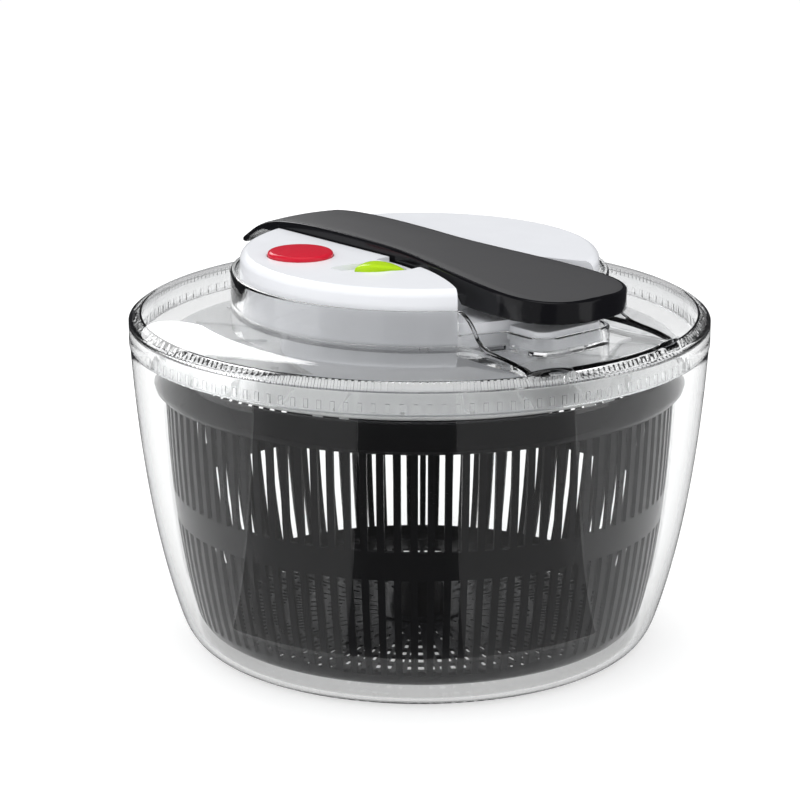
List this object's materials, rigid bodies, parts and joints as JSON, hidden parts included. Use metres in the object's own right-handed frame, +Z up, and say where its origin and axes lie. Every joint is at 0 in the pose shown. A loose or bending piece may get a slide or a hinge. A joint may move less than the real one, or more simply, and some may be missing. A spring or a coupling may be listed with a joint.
{
  "type": "salad spinner",
  "caption": "Clear-bowled salad spinner: slotted black basket, domed clear lid, white gear housing, black pump lever, red brake button and green lever lock.",
  "frame": {"origin": "centre of the bowl's flat base, on the surface it stands on", "axes": "+Z up along the spin axis; +X towards the lever's grip; -Y side holds the brake button and lock slide"},
  "size_m": [0.25, 0.25, 0.1766],
  "materials": {
    "clear_bowl": "clear moulded plastic, glossy",
    "clear_lid": "clear moulded plastic, glossy",
    "clear_plate": "clear moulded plastic, glossy",
    "black_basket": "moulded polypropylene, satin gloss",
    "black_gloss": "polished black ABS",
    "black_matt": "fine matt texture",
    "white_abs": "glossy white ABS",
    "white_acetal": "natural acetal",
    "amber_acetal": "dyed acetal",
    "red_abs": "glossy red ABS",
    "green_abs": "glossy lime green ABS",
    "steel": "stainless steel",
    "soft_rubber": "silicone rubber"
  },
  "bodies": {
    "bowl": {"outer_bowl": "clear_bowl", "pivot_pin": "steel"},
    "basket": {"basket": "black_basket", "basket_bush": "white_acetal"},
    "lid": {"lid_shell": "clear_lid", "housing_base": "white_abs", "housing_cover": "white_abs", "housing_screws": "steel", "output_bush": "amber_acetal", "gear_shaft": "steel", "counter_pin": "steel", "counter_clip": "steel", "bearing_bridge": "white_acetal", "bridge_screws": "steel", "lever_pin": "steel", "brake_spring": "steel", "slide_retainer": "steel", "retainer_screws": "steel"},
    "lever": {"handle_body": "black_gloss", "handle_pad": "black_matt", "sector_gear": "white_acetal", "sector_screws": "steel", "lever_spring": "steel"},
    "idler": {"idler_gear": "white_acetal"},
    "counter": {"counter_gear": "white_acetal"},
    "clutch": {"drive_gear": "white_acetal", "clutch_pawls": "amber_acetal"},
    "drive": {"drive_plate": "clear_plate", "ratchet_cup": "white_acetal", "output_shaft": "steel", "shaft_clip": "steel", "drive_screw": "steel"},
    "brake": {"brake_button": "red_abs", "brake_plunger": "white_acetal", "brake_pad": "soft_rubber"},
    "lock": {"lock_slide": "green_abs"}
  },
  "joints": [
    {"name": "basket_spin", "type": "hinge", "parent": "bowl", "child": "basket", "pos_m": [0, 0, 0.02], "axis": [0, 0, 1], "continuous": true},
    {"name": "lid_lift", "type": "slide", "parent": "bowl", "child": "lid", "axis": [0, 0, 1], "range_m": [0, 0.12]},
    {"name": "lever_lift", "type": "hinge", "parent": "lid", "child": "lever", "pos_m": [-0.07, 0, 0.165], "axis": [0, -1, 0], "range_deg": [0, 22]},
    {"name": "idler_spin", "type": "hinge", "parent": "lid", "child": "idler", "pos_m": [-0.02067, 0, 0.15361], "axis": [0, 1, 0], "range_deg": [0, 176]},
    {"name": "counter_spin", "type": "hinge", "parent": "lid", "child": "counter", "pos_m": [-0.02067, 0.01998, 0.135], "axis": [0, 0, 1], "range_deg": [0, 352]},
    {"name": "clutch_spin", "type": "hinge", "parent": "lid", "child": "clutch", "pos_m": [0, 0, 0.135], "axis": [0, 0, -1], "range_deg": [0, 457.6]},
    {"name": "drive_spin", "type": "hinge", "parent": "lid", "child": "drive", "pos_m": [0, 0, 0.13], "axis": [0, 0, 1], "continuous": true},
    {"name": "brake_press", "type": "slide", "parent": "lid", "child": "brake", "axis": [0, 0, -1], "range_m": [0, 0.002], "stiffness_N_per_m": 300, "springref_m": -0.001, "deforming": ["brake_spring"]},
    {"name": "lock_slide_move", "type": "slide", "parent": "lid", "child": "lock", "axis": [0.6293, 0.7771, 0], "range_m": [-0.006, 0.0045]}
  ],
  "couplings": [
    {"joint": "idler_spin", "follows": "lever_lift", "ratio": 8},
    {"joint": "counter_spin", "follows": "lever_lift", "ratio": 16},
    {"joint": "clutch_spin", "follows": "lever_lift", "ratio": 20.8},
    {"joint": "drive_spin", "follows": "basket_spin", "ratio": 1}
  ]
}
